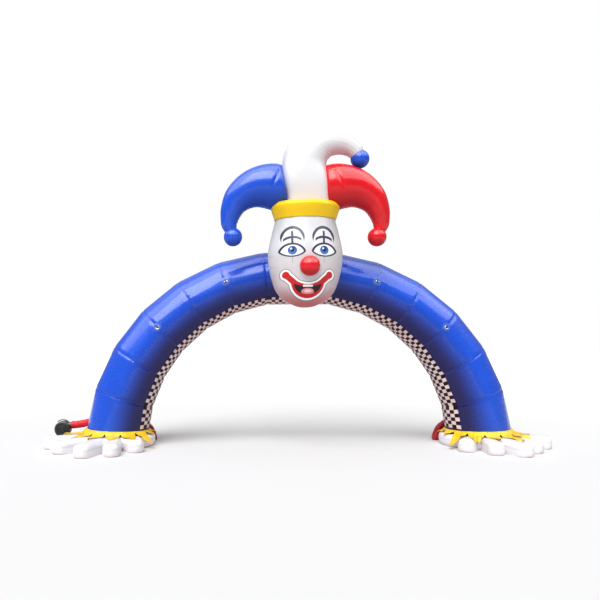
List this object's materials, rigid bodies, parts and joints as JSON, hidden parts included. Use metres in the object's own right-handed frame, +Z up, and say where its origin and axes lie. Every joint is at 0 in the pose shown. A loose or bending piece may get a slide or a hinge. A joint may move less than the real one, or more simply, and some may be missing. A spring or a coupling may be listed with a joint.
{
  "type": "inflatable entrance arch",
  "caption": "Inflatable entrance arch of mitred blue tube segments with chequered inner panels, a clown head in a horned hat over the middle and a glove at each foot",
  "frame": {"origin": "middle of the floor outline, on the ground", "axes": "+X along the arch's width to its right foot as seen from the front, +Y to the rear, +Z up"},
  "size_m": [9.4886, 2.705, 5.803],
  "materials": {
    "blue_vinyl": "glossy vinyl-coated cloth, welded seams",
    "white_vinyl": "glossy vinyl-coated cloth with printed face details",
    "red_vinyl": "glossy vinyl-coated cloth",
    "yellow_vinyl": "glossy vinyl-coated cloth, cut edges",
    "chequer_vinyl": "glossy vinyl-coated cloth printed with black and white chequers",
    "sleeve_cloth": "thin coated nylon, gathered",
    "webbing": "woven strap",
    "ring_steel": "bright wire, welded",
    "blower_plastic": "moulded, satin black"
  },
  "bodies": {
    "root": {"ball_blue": "blue_vinyl", "ball_red": "red_vinyl", "ball_white": "blue_vinyl", "blower": "blower_plastic", "blower_stand": "blower_plastic", "check_00": "chequer_vinyl", "check_01": "chequer_vinyl", "check_02": "chequer_vinyl", "check_03": "chequer_vinyl", "check_04": "chequer_vinyl", "check_05": "chequer_vinyl", "check_06": "chequer_vinyl", "check_07": "chequer_vinyl", "check_08": "chequer_vinyl", "check_09": "chequer_vinyl", "check_10": "chequer_vinyl", "check_11": "chequer_vinyl", "check_12": "chequer_vinyl", "cuff_left": "yellow_vinyl", "cuff_right": "yellow_vinyl", "glove_left": "white_vinyl", "glove_right": "white_vinyl", "hat_band": "yellow_vinyl", "head": "white_vinyl", "horn_blue": "blue_vinyl", "horn_red": "red_vinyl", "horn_white": "white_vinyl", "keeper_left_high": "webbing", "keeper_left_low": "webbing", "keeper_right_high": "webbing", "keeper_right_low": "webbing", "nose": "red_vinyl", "patch_left_high": "blue_vinyl", "patch_left_low": "blue_vinyl", "patch_right_high": "blue_vinyl", "patch_right_low": "blue_vinyl", "ring_left_high": "ring_steel", "ring_left_low": "ring_steel", "ring_right_high": "ring_steel", "ring_right_low": "ring_steel", "seg_00": "blue_vinyl", "seg_01": "blue_vinyl", "seg_02": "blue_vinyl", "seg_03": "blue_vinyl", "seg_04": "blue_vinyl", "seg_05": "blue_vinyl", "seg_06": "blue_vinyl", "seg_07": "blue_vinyl", "seg_08": "blue_vinyl", "seg_09": "blue_vinyl", "seg_10": "blue_vinyl", "seg_11": "blue_vinyl", "seg_12": "blue_vinyl", "sleeve_inlet": "sleeve_cloth", "sleeve_left": "sleeve_cloth", "sleeve_right": "sleeve_cloth"}
  },
  "joints": []
}
